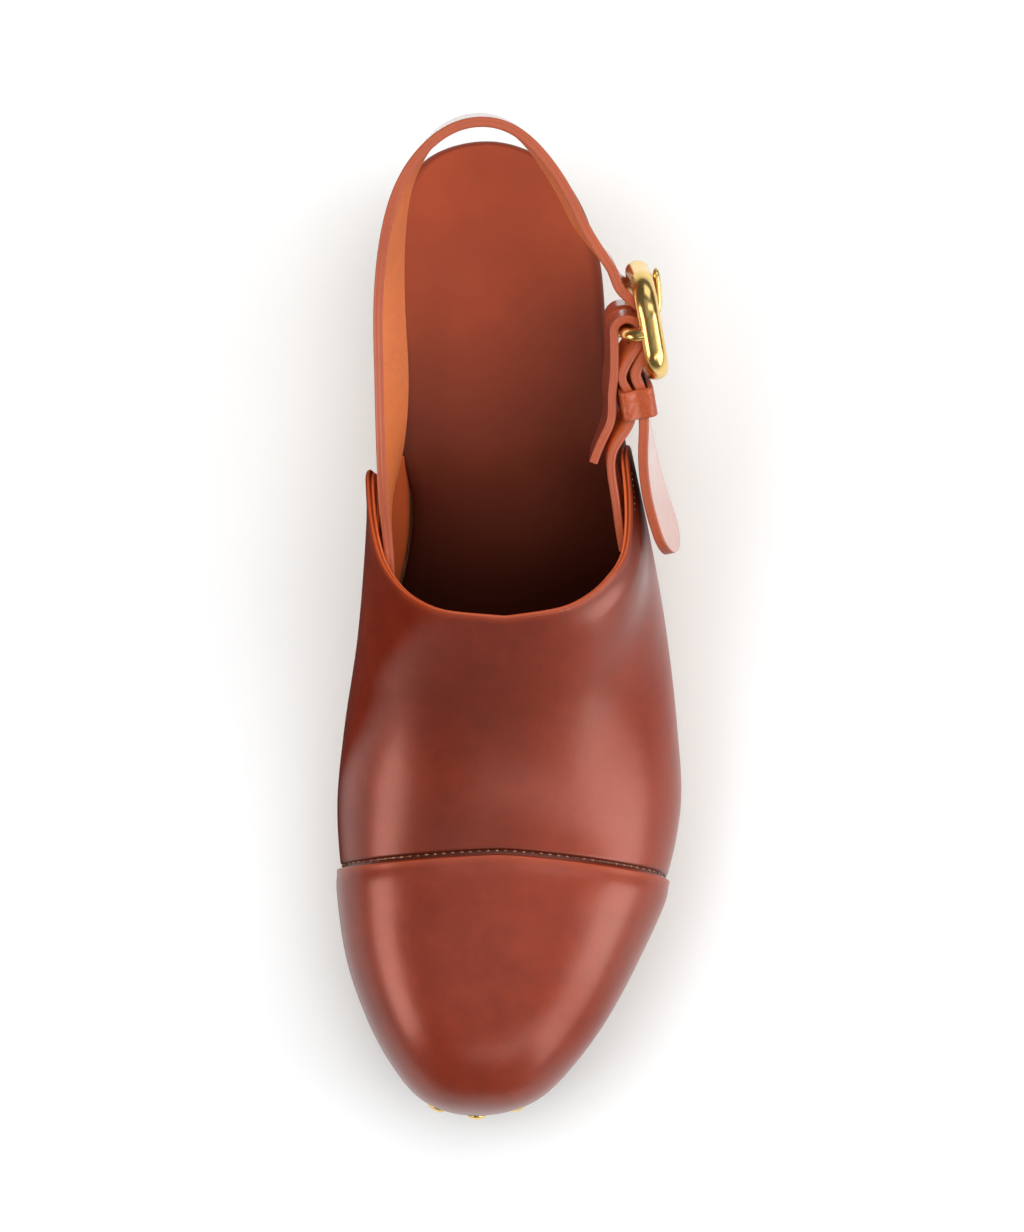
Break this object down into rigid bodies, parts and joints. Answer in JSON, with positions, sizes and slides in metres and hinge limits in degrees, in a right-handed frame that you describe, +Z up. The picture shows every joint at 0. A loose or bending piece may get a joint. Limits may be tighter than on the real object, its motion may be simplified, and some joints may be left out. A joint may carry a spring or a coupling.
{
  "type": "wedge clog",
  "caption": "Left wedge clog: leather vamp with a toe cap nailed to a high wooden wedge sole, open heel with a sling strap, oval brass buckle and leather keeper",
  "frame": {"origin": "on the floor, in the middle of the flat that the heel stands on", "axes": "+Z up, toe towards -Y, heel towards +Y, outer side of the left foot and buckle towards +X"},
  "size_m": [0.09, 0.2585, 0.13],
  "materials": {
    "sole_wood": "waxed",
    "sole_rubber": "matte",
    "sock_leather": "matte",
    "upper_leather": "burnished",
    "strap_leather": "satin",
    "buckle_brass": "polished",
    "nail_brass": "polished"
  },
  "bodies": {
    "root": {"wedge_sole": "sole_wood", "outsole": "sole_rubber", "insole": "sock_leather", "upper": "upper_leather", "toe_cap": "upper_leather", "heel_strap": "strap_leather", "buckle_strap": "strap_leather", "strap_keeper": "strap_leather", "buckle_frame": "buckle_brass", "buckle_prong": "buckle_brass", "nail_01": "nail_brass", "nail_02": "nail_brass", "nail_03": "nail_brass", "nail_04": "nail_brass", "nail_05": "nail_brass", "nail_06": "nail_brass", "nail_07": "nail_brass", "nail_08": "nail_brass", "nail_09": "nail_brass", "nail_10": "nail_brass", "nail_11": "nail_brass", "nail_12": "nail_brass", "nail_13": "nail_brass", "nail_14": "nail_brass", "nail_15": "nail_brass", "nail_16": "nail_brass", "nail_17": "nail_brass", "nail_18": "nail_brass", "nail_19": "nail_brass", "nail_20": "nail_brass", "nail_21": "nail_brass", "nail_22": "nail_brass", "nail_23": "nail_brass", "nail_24": "nail_brass", "nail_25": "nail_brass", "nail_26": "nail_brass", "nail_27": "nail_brass", "nail_28": "nail_brass", "nail_29": "nail_brass", "nail_30": "nail_brass", "nail_31": "nail_brass", "nail_32": "nail_brass", "nail_33": "nail_brass", "nail_34": "nail_brass"}
  },
  "joints": []
}
